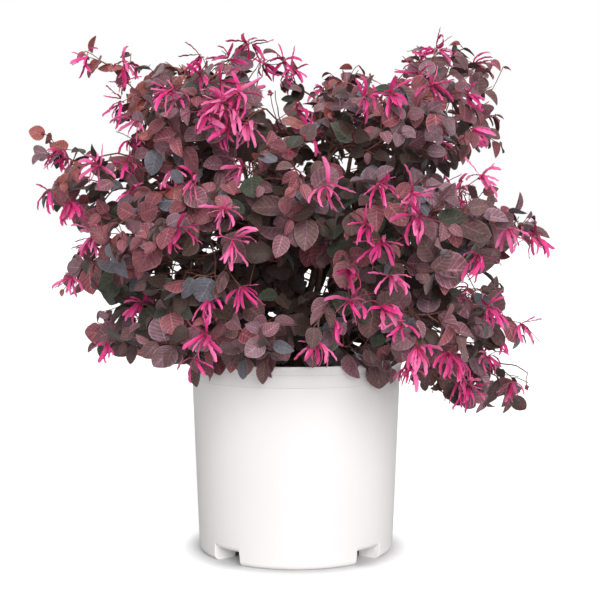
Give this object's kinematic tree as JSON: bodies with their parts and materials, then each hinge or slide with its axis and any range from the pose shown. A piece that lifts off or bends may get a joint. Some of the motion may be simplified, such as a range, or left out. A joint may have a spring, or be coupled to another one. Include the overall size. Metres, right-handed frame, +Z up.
{
  "type": "potted loropetalum",
  "caption": "Purple-leaved flowering shrub with strap-petalled pink blossom, many-stemmed from a short trunk, rooted in a round white nursery pot that stands on notched feet.",
  "frame": {"origin": "on the pot's axis, in the plane that the feet stand on", "axes": "+Z up along the pot's axis; -Y is the shrub's fuller front; +X is to the right seen from the front"},
  "size_m": [0.6557, 0.6, 0.653],
  "materials": {
    "pot_white": "white moulded plastic, soft sheen",
    "potting_mix": "dark moist bark mix",
    "bark": "rough grey-brown bark",
    "foliage_purple": "dusky purple leaves, satin",
    "blossom_pink": "hot pink petals, matt"
  },
  "bodies": {
    "root": {"bough_back": "bark", "bough_back_left": "bark", "bough_back_lower_left": "bark", "bough_back_lower_right": "bark", "bough_back_right": "bark", "bough_back_upper_left": "bark", "bough_back_upper_right": "bark", "bough_front": "bark", "bough_front_left": "bark", "bough_front_lower_left": "bark", "bough_front_lower_right": "bark", "bough_front_right": "bark", "bough_front_upper_left": "bark", "bough_front_upper_right": "bark", "bough_left": "bark", "bough_lower_left": "bark", "bough_mid_left": "bark", "bough_mid_right": "bark", "bough_right": "bark", "bough_top_middle": "bark", "bough_upper_left": "bark", "bough_upper_right": "bark", "foliage_back": "foliage_purple", "foliage_back_left": "foliage_purple", "foliage_back_lower_left": "foliage_purple", "foliage_back_lower_right": "foliage_purple", "foliage_back_right": "foliage_purple", "foliage_back_upper_left": "foliage_purple", "foliage_back_upper_right": "foliage_purple", "foliage_front": "foliage_purple", "foliage_front_left": "foliage_purple", "foliage_front_lower_left": "foliage_purple", "foliage_front_lower_right": "foliage_purple", "foliage_front_right": "foliage_purple", "foliage_front_upper_left": "foliage_purple", "foliage_front_upper_right": "foliage_purple", "foliage_left": "foliage_purple", "foliage_left_shoot": "foliage_purple", "foliage_left_tip": "foliage_purple", "foliage_lower_left": "foliage_purple", "foliage_lower_right": "foliage_purple", "foliage_mid_left": "foliage_purple", "foliage_mid_right": "foliage_purple", "foliage_right": "foliage_purple", "foliage_top_centre": "foliage_purple", "foliage_top_left": "foliage_purple", "foliage_top_middle": "foliage_purple", "foliage_upper_left": "foliage_purple", "foliage_upper_right": "foliage_purple", "pot": "pot_white", "potting_mix": "potting_mix", "trunk": "bark"}
  },
  "joints": []
}
